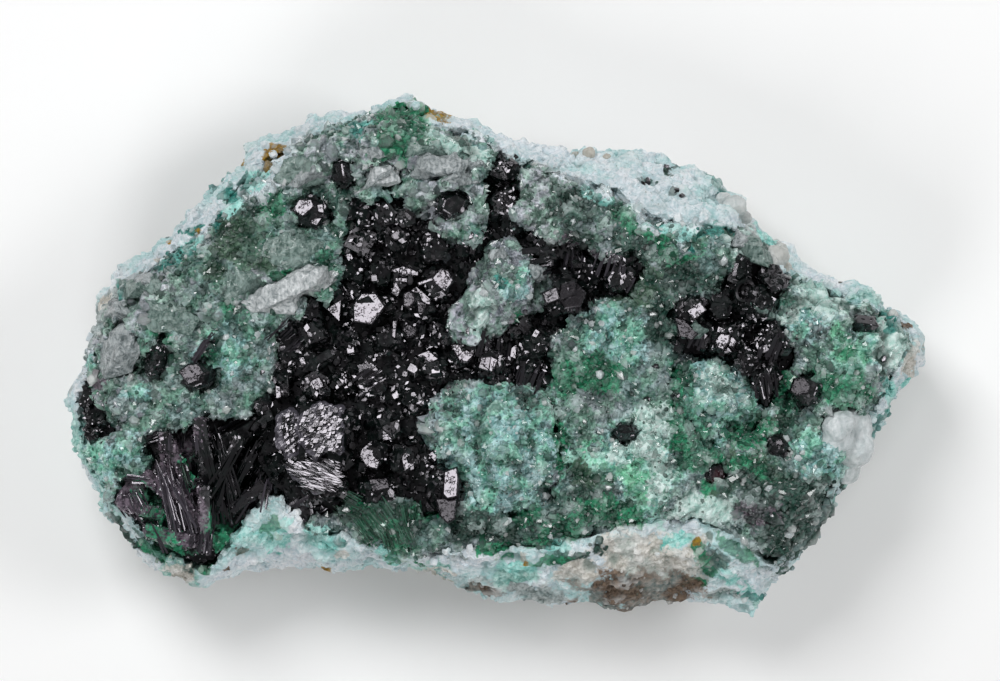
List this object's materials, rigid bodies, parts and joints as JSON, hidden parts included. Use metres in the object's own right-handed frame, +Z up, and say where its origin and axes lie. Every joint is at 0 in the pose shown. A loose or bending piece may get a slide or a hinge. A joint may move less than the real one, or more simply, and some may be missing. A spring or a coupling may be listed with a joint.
{
  "type": "atacamite specimen",
  "caption": "Mineral specimen lying on its broken back: black-green atacamite crystals on grey-green drusy quartz and pale copper-stained rock.",
  "frame": {"origin": "middle of the flat patch under the rock that the specimen rests on, below the middle of its box", "axes": "+X along the specimen, +Y across it, +Z up out of the crystal-covered face"},
  "size_m": [0.0724, 0.0442, 0.0202],
  "materials": {
    "copper_stained_rock": null,
    "drusy_quartz": null,
    "atacamite": null,
    "clear_quartz": "cloudy clear quartz and calcite with large flat faces"
  },
  "bodies": {
    "root": {"matrix": "copper_stained_rock", "quartz_crust_left": "drusy_quartz", "quartz_crust_right": "drusy_quartz", "quartz_mound_centre": "drusy_quartz", "quartz_mound_lower": "drusy_quartz", "quartz_mound_right": "drusy_quartz", "atacamite_main_cluster": "atacamite", "atacamite_right_cluster": "atacamite", "atacamite_blades": "atacamite", "atacamite_left_cluster": "atacamite", "atacamite_crystal_upper_left": "atacamite", "atacamite_crystal_top_left": "atacamite", "atacamite_crystal_in_quartz": "atacamite", "atacamite_crystal_far_right": "atacamite", "atacamite_crystal_right": "atacamite", "atacamite_crystal_lower_right": "atacamite", "atacamite_crystal_bottom_right": "atacamite", "atacamite_crystal_middle": "atacamite", "atacamite_crystal_left": "atacamite", "atacamite_crystal_pair_left": "atacamite", "calcite_plate_left": "clear_quartz", "quartz_blade_upper_left": "clear_quartz", "quartz_block_top": "clear_quartz", "quartz_ridge_top": "clear_quartz", "quartz_chunk_right": "clear_quartz"}
  },
  "joints": []
}
